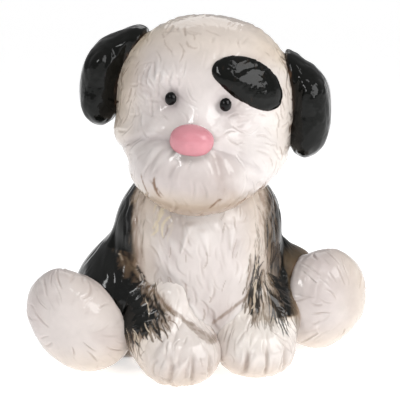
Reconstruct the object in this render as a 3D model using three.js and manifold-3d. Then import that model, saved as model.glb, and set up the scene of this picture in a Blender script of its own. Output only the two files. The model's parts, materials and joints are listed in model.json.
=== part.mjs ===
// Sitting puppy coin bank in glazed ceramic, millimetres, +Z up, facing -Y, standing on z = 0.
// The body and the head are drain-cast hollow shells; the legs, feet, ears and tail are solid casts luted to them.
// A soft stopper closes the emptying hole in the base, and a coin slot is cut through the upper back.
import * as THREE from "three";
import { mergeVertices } from "three/addons/utils/BufferGeometryUtils.js";
import Module from "manifold-3d";

const wasm = await Module();
wasm.setup();

// ---------- driving dimensions ----------
const WALL = 4.5; // fired clay wall of the two hollow shells
const JOINT_GAP = 0.3; // between luted members
const BODY_WIDTH = 80; // of the torso, without the haunches
const BODY_DEPTH = 72;
const BODY_HEIGHT = 98;
const HEAD_WIDTH = 84;
const HEAD_DEPTH = 78;
const HEAD_HEIGHT = 83;
const HEAD_SINK = 14; // how far the skull settles into the neck
const HEAD_FORWARD = 6;
const HEAD_ASIDE = 2;
const HEAD_PITCH = 4; // degrees: nose down, then turned and tilted
const HEAD_YAW = -22;
const HEAD_ROLL = 5.5;
const EAR_LENGTH = 34;
const EAR_WIDTH = 32; // front to back
const EAR_THICKNESS = 19;
const LEG_WIDTH = 33;
const PAW_LENGTH = 40;
const PAW_HEIGHT = 30;
const FOOT_WIDTH = 45;
const FOOT_HEIGHT = 54;
const FOOT_LENGTH = 34;
const FOOT_SPLAY = 18; // degrees outwards
const TAIL_HEIGHT = 42;
const NOSE_WIDTH = 19;
const NOSE_HEIGHT = 15;
const EYE_WIDTH = 5.8;
const EYE_HEIGHT = 6.6;
const EYE_SPACING = 23.5;
const PATCH_LENGTH = 35;
const PATCH_WIDTH = 15;
const PATCH_ARCH = 3; // how far its middle rises above its ends
const PATCH_RAISE = 1.9;
const SLOT_LENGTH = 36;
const SLOT_WIDTH = 5;
const NECK_HOLE_RADIUS = 13;
const BASE_THICKNESS = 6;
const STOPPER_HOLE_RADIUS = 17;
const STOPPER_LIP = 4; // the flange's width beyond the hole
const STOPPER_FLANGE_THICKNESS = 1.8;
const STOPPER_REACH = 7; // how far the barrel stands into the chamber
const STOPPER_CLEARANCE = 0.35;
const STOPPER_WALL = 2;
const FLANGE_RECESS = 0.8; // the flange sits this far above the standing plane
const STOPPER_FLANGE_RADIUS = STOPPER_HOLE_RADIUS + STOPPER_LIP;
const STOPPER_HEIGHT = BASE_THICKNESS + STOPPER_REACH;

// ---------- materials ----------
const clay = (colour) => new THREE.MeshStandardMaterial({ color: colour, roughness: 0.15, metalness: 0 });
const WHITE_GLAZE = clay("#e9e2dc");
const BLACK_GLAZE = clay("#141412");
const PINK_GLAZE = clay("#e8949f");
const STOPPER_RUBBER = new THREE.MeshStandardMaterial({ color: "#e4e1d6", roughness: 0.55, metalness: 0 });

// ---------- soft forms: distance fields, in mm ----------
const v = (x, y, z) => new THREE.Vector3(x, y, z);
const radians = THREE.MathUtils.degToRad;

// An ellipsoid with these half sizes, turned about its centre by degrees about x, y and z.
function egg(centre, half, turn = v(0, 0, 0)) {
  const euler = new THREE.Euler(radians(turn.x), radians(turn.y), radians(turn.z));
  const unturn = new THREE.Quaternion().setFromEuler(euler).invert();
  return (p) => {
    const q = p.clone().sub(centre).applyQuaternion(unturn).divide(half);
    const reach = q.length();
    const slope = q.divide(half).length();
    return slope < 1e-9 ? -Math.min(half.x, half.y, half.z) : (reach * (reach - 1)) / slope;
  };
}

// Fields joined with a fillet about as wide as `radius`.
function melt(radius, ...fields) {
  const pair = (a, b) => {
    const h = Math.max(radius - Math.abs(a - b), 0) / radius;
    return Math.min(a, b) - (h * h * radius) / 4;
  };
  return (p) => fields.map((field) => field(p)).reduce(pair);
}

// A closed mesh of the surface `grow` mm outside a field, seen from its heart.
const FAR = 150;
function skin({ field, heart, detail }, grow = 0, fineness = detail) {
  const ball = new THREE.IcosahedronGeometry(1, fineness);
  ball.deleteAttribute("normal");
  ball.deleteAttribute("uv");
  const made = mergeVertices(ball, 1e-4);
  const place = made.getAttribute("position");
  for (let i = 0; i < place.count; i++) {
    const ray = v(0, 0, 0).fromBufferAttribute(place, i).normalize();
    let reach = FAR;
    for (let step = 0; step < 200; step++) {
      const away = field(ray.clone().multiplyScalar(reach).add(heart)) - grow;
      reach -= 0.7 * away;
      if (Math.abs(away) < 1e-3) break;
    }
    place.setXYZ(i, ...ray.multiplyScalar(reach).add(heart));
  }
  return made;
}

// ---------- solids ----------
function solid(geometry) {
  const bare = geometry.clone();
  bare.deleteAttribute("normal");
  bare.deleteAttribute("uv");
  const merged = mergeVertices(bare, 1e-4);
  const mesh = new wasm.Mesh({
    numProp: 3,
    vertProperties: new Float32Array(merged.getAttribute("position").array),
    triVerts: new Uint32Array(merged.index.array),
  });
  return new wasm.Manifold(mesh);
}

function geometryOf(shape) {
  const mesh = shape.getMesh();
  const geometry = new THREE.BufferGeometry();
  geometry.setAttribute("position", new THREE.BufferAttribute(mesh.vertProperties, 3));
  geometry.setIndex(new THREE.BufferAttribute(mesh.triVerts, 1));
  geometry.computeVertexNormals();
  return geometry;
}

function block(low, high) {
  const size = high.clone().sub(low);
  const box = new THREE.BoxGeometry(size.x, size.y, size.z);
  box.translate(...low.clone().add(high).multiplyScalar(0.5));
  return solid(box);
}

function disc(radius, low, high, sides = 36) {
  const rod = new THREE.CylinderGeometry(radius, radius, high - low, sides);
  rod.rotateX(Math.PI / 2);
  rod.translate(0, 0, (low + high) / 2);
  return solid(rod);
}

function part(name, shape, material) {
  const mesh = new THREE.Mesh(geometryOf(shape), material);
  mesh.name = name;
  return mesh;
}

// The largest piece of a cut solid; crumbs left by a cut are dropped.
const largest = (shape) => shape.decompose().reduce((a, b) => (a.volume() > b.volume() ? a : b));

const UNDER_FLOOR = block(v(-FAR, -FAR, -FAR), v(FAR, FAR, 0));

// ---------- body: pear-shaped torso with its two haunches ----------
const BASE_CENTRE = BODY_DEPTH * 0.11; // the middle of the standing ring, behind the origin
function haunch(side) {
  const centre = v(side * BODY_WIDTH * 0.5, BODY_DEPTH * 0.08, BODY_HEIGHT * 0.29);
  return egg(centre, v(23, BODY_DEPTH * 0.39, BODY_HEIGHT * 0.31), v(0, side * -12, side * 12));
}
const BODY = {
  heart: v(0, BASE_CENTRE, BODY_HEIGHT * 0.43),
  detail: 7,
  field: melt(
    10,
    egg(v(0, BASE_CENTRE, BODY_HEIGHT * 0.27), v(BODY_WIDTH * 0.55, BODY_DEPTH * 0.53, BODY_HEIGHT * 0.41)),
    egg(v(0, 0, BODY_HEIGHT * 0.62), v(BODY_WIDTH * 0.53, BODY_DEPTH * 0.44, BODY_HEIGHT * 0.39)),
    egg(v(0, BODY_DEPTH * -0.3, BODY_HEIGHT * 0.55), v(24, 15, BODY_HEIGHT * 0.34)),
    egg(v(0, BODY_DEPTH * 0.33, BODY_HEIGHT * 0.25), v(BODY_WIDTH * 0.45, BODY_DEPTH * 0.36, BODY_HEIGHT * 0.28)),
    haunch(-1),
    haunch(1),
  ),
};

// ---------- head, in its own frame: skull centre at the origin ----------
const CHEEK = v(HEAD_WIDTH * 0.2, -HEAD_DEPTH * 0.14, -HEAD_HEIGHT * 0.24);
const MUZZLE = v(0, -HEAD_DEPTH * 0.33, -HEAD_HEIGHT * 0.29);
const HEAD = {
  heart: v(0, HEAD_DEPTH * -0.08, HEAD_HEIGHT * -0.05),
  detail: 7,
  field: melt(
    10,
    egg(v(0, 0, 0), v(HEAD_WIDTH / 2, HEAD_DEPTH / 2, HEAD_HEIGHT / 2)),
    egg(v(-CHEEK.x, CHEEK.y, CHEEK.z), v(HEAD_WIDTH * 0.21, HEAD_DEPTH * 0.31, HEAD_HEIGHT * 0.22)),
    egg(CHEEK, v(HEAD_WIDTH * 0.21, HEAD_DEPTH * 0.31, HEAD_HEIGHT * 0.22)),
    egg(MUZZLE, v(HEAD_WIDTH * 0.33, HEAD_DEPTH * 0.37, HEAD_HEIGHT * 0.28)),
  ),
};

const head = new THREE.Group();
head.position.set(HEAD_ASIDE, -HEAD_FORWARD, BODY_HEIGHT - HEAD_SINK + HEAD_HEIGHT / 2);
head.rotation.set(radians(HEAD_PITCH), radians(HEAD_ROLL), radians(HEAD_YAW), "ZYX");
head.updateMatrix();

// The head's outer form grown by the joint gap, in the body's frame.
const headSeat = () => solid(skin(HEAD, JOINT_GAP).applyMatrix4(head.matrix));

function neckHole() {
  const hole = disc(NECK_HOLE_RADIUS, BODY_HEIGHT * 0.6, head.position.z, 24);
  return hole.translate(head.position.x, head.position.y + 4, 0);
}

// ---------- ears: thick flaps that hang from the sides of the head ----------
function ear(side, lift, flare) {
  const x = side * HEAD_WIDTH * 0.5;
  const half = v(EAR_THICKNESS / 2, EAR_WIDTH / 2, EAR_LENGTH * 0.4);
  return {
    heart: v(x + side * 6, 0, 4),
    detail: 4,
    field: melt(
      8,
      egg(v(x - side * 6, 2, lift + HEAD_HEIGHT * 0.27), v(10, EAR_WIDTH * 0.36, 7), v(0, side * 30, 0)),
      egg(v(x + side * flare, 0, lift + HEAD_HEIGHT * 0.12), half, v(0, side * -18, 0)),
      egg(v(x + side * (flare + 1.5), -1, lift - HEAD_HEIGHT * 0.07), half, v(0, side * 4, 0)),
    ),
  };
}

// ---------- legs, feet and tail ----------
const LEG_X = LEG_WIDTH / 2 + 1;
function foreleg(side) {
  const upper = v(LEG_WIDTH / 2 + 1, LEG_WIDTH / 2 + 3, BODY_HEIGHT * 0.29);
  const paw = v(LEG_WIDTH / 2 + 1, PAW_LENGTH / 2, PAW_HEIGHT / 2);
  return {
    heart: v(side * LEG_X, BODY_DEPTH * -0.42, BODY_HEIGHT * 0.28),
    detail: 5,
    field: melt(
      10,
      egg(v(side * (LEG_X + 7), BODY_DEPTH * -0.24, BODY_HEIGHT * 0.37), upper, v(-12, side * -16, 0)),
      egg(v(side * LEG_X, BODY_DEPTH * -0.44, PAW_HEIGHT * 0.4), paw),
    ),
  };
}

function hindFoot(side) {
  const x = side * BODY_WIDTH * 0.765;
  const half = v(FOOT_WIDTH / 2, FOOT_LENGTH / 2, FOOT_HEIGHT / 2);
  return {
    heart: v(x, BODY_DEPTH * -0.2, FOOT_HEIGHT / 2),
    detail: 5,
    field: egg(v(x, BODY_DEPTH * -0.21, FOOT_HEIGHT / 2 - 1), half, v(0, side * 30, side * FOOT_SPLAY)),
  };
}

const TAIL = {
  heart: v(2, BODY_DEPTH * 0.68, TAIL_HEIGHT * 0.45),
  detail: 4,
  field: melt(
    8,
    egg(v(0, BODY_DEPTH * 0.64, TAIL_HEIGHT * 0.34), v(12, 13, TAIL_HEIGHT * 0.28)),
    egg(v(5, BODY_DEPTH * 0.68, TAIL_HEIGHT * 0.66), v(10, 10, TAIL_HEIGHT * 0.34), v(10, 16, 0)),
  ),
};

// ---------- face ----------
// The point of the head's surface straight in front of (x, z).
function onFace(x, z) {
  const p = v(x, -FAR, z);
  for (let step = 0; step < 200; step++) p.y += 0.7 * HEAD.field(p);
  return p;
}

function bead(x, z, half, detail) {
  const seat = onFace(x, z);
  return { heart: seat, detail, field: egg(seat, half) };
}

const NOSE = bead(0, MUZZLE.z + HEAD_HEIGHT * 0.18, v(NOSE_WIDTH / 2, NOSE_HEIGHT / 2, NOSE_HEIGHT / 2), 3);

function eye(side) {
  return bead((side * EYE_SPACING) / 2, HEAD_HEIGHT * 0.075, v(EYE_WIDTH / 2, EYE_WIDTH / 2, EYE_HEIGHT / 2), 2);
}

// Raised eyebrow-shaped patch: a slice of the grown head inside an arched oval.
function eyePatch() {
  const rim = [];
  for (let i = 0; i < 32; i++) {
    const turn = (i / 32) * 2 * Math.PI;
    const arch = PATCH_ARCH * Math.sin(turn) ** 2;
    rim.push(new THREE.Vector2((PATCH_LENGTH / 2) * Math.cos(turn), (PATCH_WIDTH / 2) * Math.sin(turn) + arch));
  }
  const prism = new THREE.ExtrudeGeometry(new THREE.Shape(rim), { depth: HEAD_DEPTH, bevelEnabled: false });
  prism.rotateX(Math.PI / 2);
  prism.rotateY(radians(30));
  prism.translate(HEAD_WIDTH * 0.235, 0, HEAD_HEIGHT * 0.17);
  return solid(skin(HEAD, PATCH_RAISE))
    .intersect(solid(prism))
    .subtract(solid(skin(HEAD, JOINT_GAP)))
    .subtract(solid(skin(eye(1), JOINT_GAP)));
}

// ---------- stopper: soft plug with a finger bar across its recessed underside ----------
function stopper() {
  const barrel = STOPPER_HOLE_RADIUS - STOPPER_CLEARANCE;
  const low = FLANGE_RECESS;
  const shoulder = low + STOPPER_FLANGE_THICKNESS;
  const bore = barrel - STOPPER_WALL;
  const web = shoulder + 3.5;
  const profile = [
    [0, web],
    [bore - 1, web],
    [bore - 1, low],
    [STOPPER_FLANGE_RADIUS, low],
    [STOPPER_FLANGE_RADIUS, shoulder],
    [barrel, shoulder],
    [barrel, STOPPER_HEIGHT - 2],
    [barrel - 1.2, STOPPER_HEIGHT],
    [bore, STOPPER_HEIGHT],
    [bore, web + STOPPER_WALL],
    [0, web + STOPPER_WALL],
  ].map(([x, z]) => new THREE.Vector2(x, z));
  const turned = new THREE.LatheGeometry(profile, 36);
  turned.rotateX(Math.PI / 2);
  const bar = block(v(-bore, -1.6, low), v(bore, 1.6, web + 0.5));
  return solid(turned).add(bar).translate(0, BASE_CENTRE, 0);
}

// ---------- shells ----------
function bodyShell() {
  const hollow = solid(skin(BODY, -WALL, 5)).subtract(block(v(-FAR, -FAR, -FAR), v(FAR, FAR, BASE_THICKNESS)));
  const slotFoot = BODY_HEIGHT * 0.45;
  const slot = block(v(-SLOT_WIDTH / 2, BASE_CENTRE, slotFoot), v(SLOT_WIDTH / 2, FAR, slotFoot + SLOT_LENGTH));
  const flangeSeat = FLANGE_RECESS + STOPPER_FLANGE_THICKNESS + STOPPER_CLEARANCE;
  const counterbore = disc(STOPPER_FLANGE_RADIUS + STOPPER_CLEARANCE, -1, flangeSeat);
  return solid(skin(BODY))
    .subtract(UNDER_FLOOR)
    .subtract(headSeat())
    .subtract(hollow)
    .subtract(neckHole())
    .subtract(slot)
    .subtract(disc(STOPPER_HOLE_RADIUS, -1, BASE_THICKNESS + 1).translate(0, BASE_CENTRE, 0))
    .subtract(counterbore.translate(0, BASE_CENTRE, 0));
}

function headShell() {
  const hole = neckHole().transform(head.matrix.clone().invert().elements);
  return solid(skin(HEAD)).subtract(solid(skin(HEAD, -WALL, 5))).subtract(hole);
}

const clearOf = (shape, ...others) => largest(others.reduce((a, b) => a.subtract(b), shape));
const bodySeat = () => solid(skin(BODY, JOINT_GAP));
const onHead = (form) => clearOf(solid(skin(form)), solid(skin(HEAD, JOINT_GAP)));

function forelegSolid(side) {
  const edge = side * FAR * 2;
  const middle = (-side * JOINT_GAP) / 2;
  const across = block(v(Math.min(-edge, -middle), -FAR, -FAR), v(Math.max(-edge, -middle), FAR, FAR));
  return clearOf(solid(skin(foreleg(side))), UNDER_FLOOR, bodySeat(), headSeat(), across);
}

function hindFootSolid(side) {
  return clearOf(solid(skin(hindFoot(side))), UNDER_FLOOR, bodySeat(), solid(skin(foreleg(side), JOINT_GAP)));
}

// ---------- assembly ----------
head.add(
  part("head_shell", headShell(), WHITE_GLAZE),
  part("right_ear", onHead(ear(-1, 2, 7)), BLACK_GLAZE),
  part("left_ear", onHead(ear(1, -2, 5)), BLACK_GLAZE),
  part("nose", onHead(NOSE), PINK_GLAZE),
  part("right_eye", onHead(eye(-1)), BLACK_GLAZE),
  part("left_eye", onHead(eye(1)), BLACK_GLAZE),
  part("eye_patch", eyePatch(), BLACK_GLAZE),
);

const puppy = new THREE.Group();
puppy.add(
  head,
  part("body_shell", bodyShell(), WHITE_GLAZE),
  part("right_foreleg", forelegSolid(-1), WHITE_GLAZE),
  part("left_foreleg", forelegSolid(1), WHITE_GLAZE),
  part("right_hind_foot", hindFootSolid(-1), WHITE_GLAZE),
  part("left_hind_foot", hindFootSolid(1), WHITE_GLAZE),
  part("tail", clearOf(solid(skin(TAIL)), UNDER_FLOOR, bodySeat()), BLACK_GLAZE),
  part("stopper", stopper(), STOPPER_RUBBER),
);

// Centred over the origin.
const span = new THREE.Box3().setFromObject(puppy, true);
puppy.position.set((span.min.x + span.max.x) / -2, (span.min.y + span.max.y) / -2, 0);

export default puppy;
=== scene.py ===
"""A sitting puppy coin bank in glazed ceramic: shaggy relief, brushed glaze, a soft stopper."""

import itertools
import json
import math

import bpy
import numpy as np
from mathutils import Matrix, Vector
from mathutils.bvhtree import BVHTree


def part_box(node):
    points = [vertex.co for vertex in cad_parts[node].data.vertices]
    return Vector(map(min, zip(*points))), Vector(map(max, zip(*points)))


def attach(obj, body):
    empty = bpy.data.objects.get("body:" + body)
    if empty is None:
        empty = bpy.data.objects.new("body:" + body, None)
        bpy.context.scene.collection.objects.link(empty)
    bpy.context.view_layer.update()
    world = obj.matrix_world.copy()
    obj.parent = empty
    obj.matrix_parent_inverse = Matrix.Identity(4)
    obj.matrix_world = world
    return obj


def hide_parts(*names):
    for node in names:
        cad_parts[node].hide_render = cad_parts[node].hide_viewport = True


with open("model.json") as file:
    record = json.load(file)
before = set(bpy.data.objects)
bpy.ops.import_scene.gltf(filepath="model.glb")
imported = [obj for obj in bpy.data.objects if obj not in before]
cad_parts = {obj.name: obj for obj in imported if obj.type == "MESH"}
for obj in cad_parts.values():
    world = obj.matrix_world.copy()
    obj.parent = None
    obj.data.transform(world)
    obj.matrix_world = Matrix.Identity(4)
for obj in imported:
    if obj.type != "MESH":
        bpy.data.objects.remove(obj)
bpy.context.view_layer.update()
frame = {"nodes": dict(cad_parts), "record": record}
NODES = frame["nodes"]
MM = 0.001
BANK = "bank"
STOPPER = "stopper"
RNG = np.random.default_rng(7)
SIDES = ("right", "left")
OTHER = {"right": "left", "left": "right"}
SIGN = {"right": -1, "left": 1}


# ---------- small maths ----------
def unit(vectors):
    return vectors / np.maximum(np.linalg.norm(vectors, axis=-1, keepdims=True), 1e-12)


def ramp(low, high, value):
    """0 below low, 1 above high, smooth between."""
    t = np.clip((value - low) / (high - low), 0, 1)
    return t * t * (3 - 2 * t)


def bell(value, width):
    return np.exp(-((value / width) ** 2))


def mix(a, b, share):
    share = np.asarray(share)[..., None]
    return a * (1 - share) + b * share


def linear(hex_colour):
    """The linear RGB of a hex colour."""
    parts = np.array([int(hex_colour[i : i + 2], 16) for i in (1, 3, 5)]) / 255
    return np.where(parts <= 0.04045, parts / 12.92, ((parts + 0.055) / 1.055) ** 2.4)


LATTICE_SIZE = 32
LATTICE = np.random.default_rng(3).random((LATTICE_SIZE,) * 3) * 2 - 1


def noise(points, size, shift=0.0):
    """Smooth noise from -1 to 1 with features of about `size` (a number, or one for each axis)."""
    place = points / size + shift + 100
    cell = np.floor(place).astype(int)
    part = place - cell
    part = part * part * (3 - 2 * part)
    total = np.zeros(len(points))
    for corner in itertools.product((0, 1), repeat=3):
        weight = np.prod(np.where(corner, part, 1 - part), axis=1)
        i, j, k = ((cell + corner) % LATTICE_SIZE).T
        total += weight * LATTICE[i, j, k]
    return total


def rough_noise(points, size, shift=0.0):
    return (noise(points, size, shift) + 0.5 * noise(points, size * 0.47, shift + 7)) / 1.5


# ---------- grids: a cube of cells blown up to a sphere ----------
class Grid:
    """Directions all round, `n` by `n` cells to each of six sides, with the cells' quads facing out."""

    def __init__(self, n):
        self.n = n
        t = np.tan(np.linspace(-1, 1, n + 1) * math.pi / 4)
        a, b = np.meshgrid(t, t, indexing="ij")
        sides = np.zeros((6, n + 1, n + 1, 3))
        for side in range(6):
            axis, sign = side // 2, 1 - 2 * (side % 2)
            sides[side, ..., axis] = sign
            sides[side, ..., (axis + 1) % 3] = a
            sides[side, ..., (axis + 2) % 3] = b
        cube, index = np.unique(np.round(sides.reshape(-1, 3), 7), axis=0, return_inverse=True)
        self.index = index.reshape(6, n + 1, n + 1)
        self.directions = unit(cube)
        quads = []
        for side in range(6):
            at = self.index[side]
            ring = [at[:-1, :-1], at[1:, :-1], at[1:, 1:], at[:-1, 1:]]
            if side % 2:
                ring.reverse()
            quads.append(np.stack(ring, -1).reshape(-1, 4))
        self.quads = np.concatenate(quads)
        self.near = self._neighbours()

    def _neighbours(self):
        q = self.quads
        pairs = np.concatenate([q[:, [i, (i + 1) % 4]] for i in range(4)])
        pairs = np.unique(np.concatenate([pairs, pairs[:, ::-1]]), axis=0)
        first = np.searchsorted(pairs[:, 0], np.arange(len(self.directions)))
        count = np.bincount(pairs[:, 0], minlength=len(self.directions))
        turn = np.arange(4)[None, :] % count[:, None]
        return pairs[first[:, None] + turn, 1]

    def smooth(self, field, times, where=None):
        for _ in range(times):
            mean = field[self.near].mean(axis=1)
            field = 0.5 * (field + mean) if where is None else np.where(where, mean, field)
        return field

    def spread(self, mask, times):
        for _ in range(times):
            mask = mask | mask[self.near].any(axis=1)
        return mask

    def look_up(self, field, directions):
        """The field's value along any directions, between its four nearest grid points."""
        size = np.abs(directions)
        axis = size.argmax(axis=1)
        row = np.arange(len(directions))
        most = size[row, axis]
        side = axis * 2 + (directions[row, axis] < 0)
        a = np.arctan(directions[row, (axis + 1) % 3] / most)
        b = np.arctan(directions[row, (axis + 2) % 3] / most)
        u, v = ((np.clip(c / (math.pi / 4), -1, 1) + 1) / 2 * self.n for c in (a, b))
        i, j = (np.minimum(c.astype(int), self.n - 1) for c in (u, v))
        u, v = u - i, v - j
        if field.ndim > 1:
            u, v = u[:, None], v[:, None]
        at = self.index
        low = field[at[side, i, j]] * (1 - u) + field[at[side, i + 1, j]] * u
        high = field[at[side, i, j + 1]] * (1 - u) + field[at[side, i + 1, j + 1]] * u
        return low * (1 - v) + high * v

    def normals(self, points):
        q = points[self.quads]
        face = np.cross(q[:, 2] - q[:, 0], q[:, 3] - q[:, 1])
        total = np.zeros_like(points)
        for corner in range(4):
            for axis in range(3):
                total[:, axis] += np.bincount(self.quads[:, corner], face[:, axis], len(points))
        return unit(total)


COARSE = Grid(52)
FINE = Grid(120)
MEDIUM = Grid(96)
SMALL = Grid(44)
LINING = Grid(30)

TREES = {}
for node_name, node in NODES.items():
    corners = [v.co.copy() for v in node.data.vertices]
    TREES[node_name] = BVHTree.FromPolygons(corners, [tuple(p.vertices) for p in node.data.polygons])


def middle(node_name):
    low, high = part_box(node_name)
    return np.array((low + high) / 2)


def centroid(node_name):
    """The centre of volume of a closed CAD node."""
    mesh = NODES[node_name].data
    mesh.calc_loop_triangles()
    corners = np.array([v.co for v in mesh.vertices])
    a, b, c = (corners[[t.vertices[k] for t in mesh.loop_triangles]] for k in range(3))
    volume = np.einsum("ij,ij->i", a, np.cross(b, c))
    return ((a + b + c) * volume[:, None]).sum(0) / (4 * volume.sum())


# ---------- forms: a CAD node's outer surface as the reach from its heart ----------
FAR = 0.3
SEAM_REACH = 0.8 * MM
EMBED = 3 * MM


class Form:
    """A member's smooth outer surface. Where a neighbour cuts it, it runs on up to EMBED into that one."""

    def __init__(self, node_name, heart, seams=(), soften=4, flat_hole=None):
        self.heart = np.array(heart, float)
        self.name = node_name
        reach, cut, bare = self._cast(TREES[node_name], seams)
        if flat_hole is not None:
            reach, cut, bare = self._flatten(reach, cut, bare, *flat_hole)
        bare = COARSE.spread(bare, 2)
        hole = bare | cut
        filled = np.where(hole, reach[~hole].mean(), reach)
        filled = COARSE.smooth(filled, 900, hole)
        limit = np.where(cut & ~bare, reach + EMBED, FAR)
        self.coarse = COARSE.smooth(np.minimum(filled, limit), soften)
        self.hidden = COARSE.smooth(hole.astype(float), 2)

    def _cast(self, tree, seams):
        count = len(COARSE.directions)
        reach = np.zeros(count)
        cut = np.zeros(count, bool)
        bare = np.zeros(count, bool)
        heart = Vector(self.heart)
        for i, direction in enumerate(COARSE.directions):
            ray = Vector(direction)
            hit, _, _, distance = tree.ray_cast(heart + ray * FAR, -ray, FAR)
            if hit is None:
                bare[i] = True
                continue
            reach[i] = FAR - distance
            cut[i] = any(TREES[other].find_nearest(hit, SEAM_REACH)[0] is not None for other in seams)
        return reach, cut, bare

    def _flatten(self, reach, cut, bare, centre, radius):
        """Closes a hole of this radius in the flat underside."""
        down = COARSE.directions[:, 2] < -0.2
        to_floor = self.heart[2] / np.maximum(-COARSE.directions[:, 2], 0.2)
        foot = self.heart + COARSE.directions * to_floor[:, None]
        inside = down & (np.hypot(*(foot[:, :2] - centre[:2]).T) < radius)
        return np.where(inside, to_floor, reach), cut & ~inside, bare & ~inside

    def on(self, grid, times=18):
        """The form's points on a grid."""
        self.grid = grid
        self.reach = grid.smooth(COARSE.look_up(self.coarse, grid.directions), times)
        points = self.heart + grid.directions * self.reach[:, None]
        self.facing = np.einsum("ij,ij->i", grid.normals(points), grid.directions)
        return points

    def outside(self, points):
        """About how far points lie outside this form; negative inside."""
        away = points - self.heart
        distance = np.linalg.norm(away, axis=1)
        directions = away / np.maximum(distance, 1e-9)[:, None]
        reach = self.grid.look_up(self.reach, directions)
        return (distance - reach) * np.clip(self.grid.look_up(self.facing, directions), 0.4, 1)


def fillet(distance, width):
    """How far a surface swells beside a neighbour this far away, for a soft crease."""
    near = np.clip(1 - np.abs(distance) / width, 0, 1)
    return near * near * width / 4


# ---------- hair strokes ----------
def scatter(points, wanted, spacing, chance=None):
    """Indices of about `wanted` points, none closer together than `spacing`."""
    order = RNG.permutation(len(points))
    if chance is not None:
        order = order[RNG.random(len(order)) < chance[order]]
    chosen = []
    places = np.zeros((0, 3))
    for i in order[: wanted * 40]:
        if len(places) and (((places - points[i]) ** 2).sum(1) < spacing * spacing).any():
            continue
        chosen.append(i)
        places = np.vstack([places, points[i]])
        if len(chosen) >= wanted:
            break
    return chosen


def strokes(points, normals, seeds, flow, length, width, height, sway=0.3, bend=0.2):
    """Short tapering furrows with raised banks, as a comb leaves in clay.

    Returns the relief and the furrows' depth (0 to 1).
    """
    relief = np.zeros(len(points))
    furrow = np.zeros(len(points))
    for i in seeds:
        centre, normal = points[i], normals[i]
        along = flow[i] - normal * (flow[i] @ normal)
        along /= max(np.linalg.norm(along), 1e-9)
        angle = RNG.normal(0, sway)
        along = along * math.cos(angle) + np.cross(normal, along) * math.sin(angle)
        across = np.cross(normal, along)
        half = length * RNG.uniform(0.55, 1.4) / 2
        wide = width * RNG.uniform(0.7, 1.3) / 2
        curl = RNG.normal(0, bend) * half
        side = RNG.choice((-1.0, 1.0))
        strength = 0.12 + 0.88 * RNG.random() ** 1.6
        near = np.nonzero(((points - centre) ** 2).sum(1) < (half + 2 * wide) ** 2)[0]
        away = points[near] - centre
        u = away @ along / half
        taper = np.sqrt(np.clip(1 - u * u, 0, 1)) * np.clip(1.1 - 0.5 * u, 0, 1)
        w = (away @ across - curl * u * u) / wide
        groove = np.exp(-((w / 0.42) ** 2)) * taper
        bank = np.exp(-(((w - side * 1.05) / 0.6) ** 2)) + 0.45 * np.exp(-(((w + side * 1.05) / 0.5) ** 2))
        relief[near] += height * strength * (0.55 * bank * taper - groove)
        furrow[near] = np.maximum(furrow[near], groove * strength)
    return relief, furrow


def comb(points, normals, wanted, spacing, chance, flow, length, width, height, sway=0.3, bend=0.2):
    """Strokes scattered over a surface, where chance allows; sizes in mm. Returns relief and furrows."""
    seeds = scatter(points, wanted, spacing * MM, chance)
    return strokes(points, normals, seeds, flow, length * MM, width * MM, height * MM, sway, bend)


def falling(count, sideways, backwards=0.0):
    """Directions that point down, and by these shares towards +X and +Y."""
    flow = np.zeros((count, 3))
    flow[:, 0] = sideways
    flow[:, 1] = backwards
    flow[:, 2] = -1
    return flow


# ---------- glaze colours ----------
WHITE = linear("#d6cdc9")
PALE = linear("#e9e3e0")
ASH = linear("#bdb0ad")
CREAM = linear("#d9c8b2")
SEPIA = linear("#7d6049")
PAINTED_LIGHT_WHITE = linear("#f4eee8")
# painted light: the brightest white, for the left foreleg, which sits in shade
STRAW = linear("#e9dcc0")
TAUPE = linear("#6a5a47")
UMBER = linear("#3b2c22")
BLACK = linear("#0d0e0c")
PINK = linear("#d38e97")
ROSE = linear("#c27880")
# painted shade colour for the eye sockets and the groove round the muzzle
LILAC_SHADE = linear("#c9bfc0")
EYE_BLACK = linear("#050505")
EYE_BROWN = linear("#1a130e")
BARE_INSIDE = linear("#e9e3da")
HAIR_SPACING = 0.9


class Coat:
    """The painted colour and the dryness (0 glossy, 1 dry-brushed) at each point."""

    def __init__(self, points, ground, normals=None):
        self.points = points
        self.normals = normals
        self.colour = np.tile(np.asarray(ground, float), (len(points), 1))
        self.dry = np.zeros(len(points))

    def brush(self, colour, share, dry=0.0):
        share = np.clip(share, 0, 1)
        self.colour = mix(self.colour, colour, share)
        self.dry = self.dry * (1 - share) + dry * share
        return self

    def hairs(self, colour, share, dry, chance, count, flow, length, width, sway):
        """Tapering hairs of one colour, painted where chance allows; sizes in mm."""
        _, hairs = comb(self.points, self.normals, count, HAIR_SPACING, chance, flow, length, width, 0, sway)
        self.brush(colour, share * ramp(0.06, 0.3, hairs), dry)


def streaks(points, flow_scale, shift=0.0):
    """Brush streaks: noise drawn out along the axes where flow_scale is long."""
    return rough_noise(points, np.array(flow_scale) * MM, shift)


def glaze_tones_and_highlights(coat, relief):
    """White glaze: painted highlight over raised ridges, ashen where it pools, and clouded overall."""
    clouds = rough_noise(coat.points, 17 * MM, 51)
    lit_ridges = relief / MM + 0.25 * rough_noise(coat.points, 6 * MM, 57)
    coat.brush(ASH, 0.5 * ramp(0.05, 0.6, clouds) + 0.45 * ramp(0, -0.5, relief / MM))
    # painted highlight: paler over the raised relief, a little mottled
    return coat.brush(PALE, 0.6 * ramp(0.05, 0.55, lit_ridges))


def antique_and_shade_creases(coat, furrow, crease=0.0):
    """Sepia wiped into the furrows, and umber painted shade in the creases between members."""
    blotch = 0.5 + 0.5 * rough_noise(coat.points, 11 * MM, 21)
    coat.brush(SEPIA, furrow * (0.05 + 0.75 * blotch**2), 0.15)
    # painted shade: umber darkening in the creases where members meet
    coat.brush(UMBER, crease * (0.25 + 0.55 * blotch), 0.2)


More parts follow.
